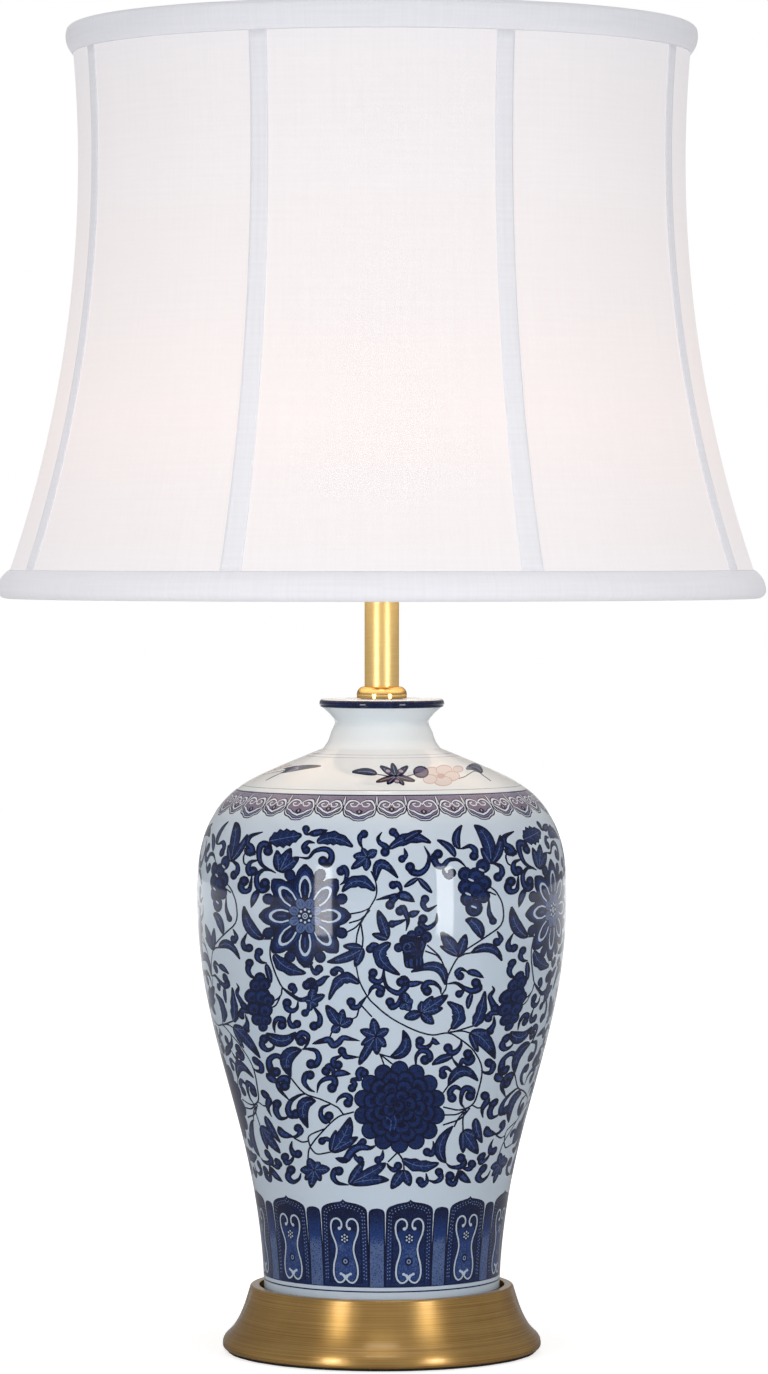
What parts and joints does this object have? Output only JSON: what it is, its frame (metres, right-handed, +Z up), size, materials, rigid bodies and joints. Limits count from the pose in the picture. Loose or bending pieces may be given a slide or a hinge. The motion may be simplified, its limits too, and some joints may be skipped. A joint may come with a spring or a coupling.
{
  "type": "table lamp",
  "caption": "Table lamp with a blue and white porcelain vase body on a round brass foot, a brass stem and a bell-shaped fabric shade with padded edges.",
  "frame": {"origin": "centre of the foot's underside, on the surface the lamp stands on", "axes": "+Z up the lamp's axis, -Y towards the viewer of the front panel, +Y towards the cord inlet"},
  "size_m": [0.4003, 0.4004, 0.6907],
  "materials": {
    "felt": "black wool felt",
    "zinc_steel": "zinc plated",
    "cast_iron": "as cast, painted grey",
    "antique_brass": "satin antique brass, brushed round",
    "polished_brass": "polished",
    "black_plastic": "moulded phenolic",
    "gasket_rubber": "dull",
    "clear_nylon": "natural nylon",
    "porcelain": "glossy clear glaze over cobalt painting",
    "steatite": "unglazed",
    "contact_brass": "plain",
    "bulb_black": "black vitrite",
    "bulb_metal": "bright",
    "bulb_plastic": "smooth",
    "bulb_glass": "opal",
    "white_wire": "white powder coat",
    "cover_cloth": "off-white plain weave",
    "trim_cloth": "off-white plain weave, padded",
    "lining_cloth": "off-white satin lining"
  },
  "bodies": {
    "stand": {"felt_pad": "felt", "base_plate": "zinc_steel", "base_plate_screws": "zinc_steel", "centre_rod": "zinc_steel", "rod_washer": "zinc_steel", "rod_nut": "zinc_steel", "cap_lock_nut": "zinc_steel", "base_weight": "cast_iron", "base_shell": "antique_brass", "stem_tube": "antique_brass", "stem_bush": "antique_brass", "collar": "polished_brass", "cord_bush": "black_plastic", "lampholder_cap": "black_plastic", "lampholder_shell": "black_plastic", "seat_gasket": "gasket_rubber", "mouth_gasket": "clear_nylon", "vase": "porcelain", "lampholder_core": "steatite", "core_screws": "contact_brass", "contact_sleeve": "contact_brass", "centre_contact": "contact_brass"},
    "clamp_ring": {"shade_clamp_ring": "black_plastic"},
    "shade": {"fitter_ring": "white_wire", "fitter_arms": "white_wire", "top_ring": "white_wire", "bottom_ring": "white_wire", "rib_1": "white_wire", "rib_2": "white_wire", "rib_3": "white_wire", "rib_4": "white_wire", "rib_5": "white_wire", "rib_6": "white_wire", "rib_7": "white_wire", "rib_8": "white_wire", "cover_panel_1": "cover_cloth", "cover_panel_2": "cover_cloth", "cover_panel_3": "cover_cloth", "cover_panel_4": "cover_cloth", "cover_panel_5": "cover_cloth", "cover_panel_6": "cover_cloth", "cover_panel_7": "cover_cloth", "cover_panel_8": "cover_cloth", "rib_strips": "cover_cloth", "lining": "lining_cloth", "top_trim": "trim_cloth", "bottom_trim": "trim_cloth"},
    "bulb_tip": {"bulb_contact": "contact_brass"},
    "bulb": {"bulb_insulator": "bulb_black", "bulb_cap": "bulb_metal", "bulb_neck": "bulb_plastic", "bulb_globe": "bulb_glass"}
  },
  "joints": [
    {"name": "shade_turn", "type": "hinge", "parent": "stand", "child": "shade", "pos_m": [0, 0, 0.4222], "axis": [0, 0, 1], "continuous": true},
    {"name": "clamp_ring_turn", "type": "hinge", "parent": "stand", "child": "clamp_ring", "pos_m": [0, 0, 0.4274], "axis": [0, 0, 1], "range_deg": [0, 120]},
    {"name": "bulb_lift", "type": "slide", "parent": "stand", "child": "bulb_tip", "axis": [0, 0, 1], "range_m": [0, 0.01815]},
    {"name": "bulb_turn", "type": "hinge", "parent": "bulb_tip", "child": "bulb", "pos_m": [0, 0, 0.4772], "axis": [0, 0, 1], "range_deg": [0, 1800]}
  ],
  "couplings": [
    {"joint": "bulb_lift", "follows": "bulb_turn", "m_per_rad": 0.00057757}
  ]
}
